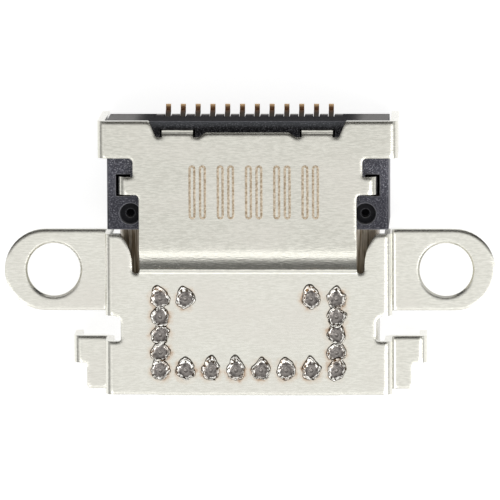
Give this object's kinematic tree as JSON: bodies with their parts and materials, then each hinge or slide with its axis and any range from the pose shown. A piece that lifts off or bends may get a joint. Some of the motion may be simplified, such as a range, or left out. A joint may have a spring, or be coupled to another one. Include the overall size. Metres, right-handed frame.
{
  "type": "usb-c socket",
  "caption": "Mid-mount type-C board socket with a welded cover plate, two screw ears, fold-down board legs and a contact tongue inside the mouth.",
  "frame": {"origin": "centre of the mouth, on the tube's front edge", "axes": "+X across the socket along the screw ears, +Y from the mouth to the contact tails, +Z away from the board"},
  "size_m": [0.0166, 0.0096, 0.0038],
  "materials": {
    "shield_steel": "nickel plated, satin with fine grain",
    "tube_steel": "nickel plated, satin",
    "body_plastic": "moulded, fine texture",
    "carrier_plastic": "moulded, smooth",
    "plate_steel": "bare, satin",
    "contact_gold": "gold flashed"
  },
  "bodies": {
    "root": {"outer_shield": "shield_steel", "inner_shell": "tube_steel", "housing": "body_plastic", "upper_carrier": "carrier_plastic", "lower_carrier": "carrier_plastic", "mid_plate": "plate_steel", "upper_ground_collar": "plate_steel", "lower_ground_collar": "plate_steel", "upper_contact_01": "contact_gold", "lower_contact_01": "contact_gold", "upper_contact_02": "contact_gold", "lower_contact_02": "contact_gold", "upper_contact_03": "contact_gold", "lower_contact_03": "contact_gold", "upper_contact_04": "contact_gold", "lower_contact_04": "contact_gold", "upper_contact_05": "contact_gold", "lower_contact_05": "contact_gold", "upper_contact_06": "contact_gold", "lower_contact_06": "contact_gold", "upper_contact_07": "contact_gold", "lower_contact_07": "contact_gold", "upper_contact_08": "contact_gold", "lower_contact_08": "contact_gold", "upper_contact_09": "contact_gold", "lower_contact_09": "contact_gold", "upper_contact_10": "contact_gold", "lower_contact_10": "contact_gold", "upper_contact_11": "contact_gold", "lower_contact_11": "contact_gold", "upper_contact_12": "contact_gold", "lower_contact_12": "contact_gold"}
  },
  "joints": []
}
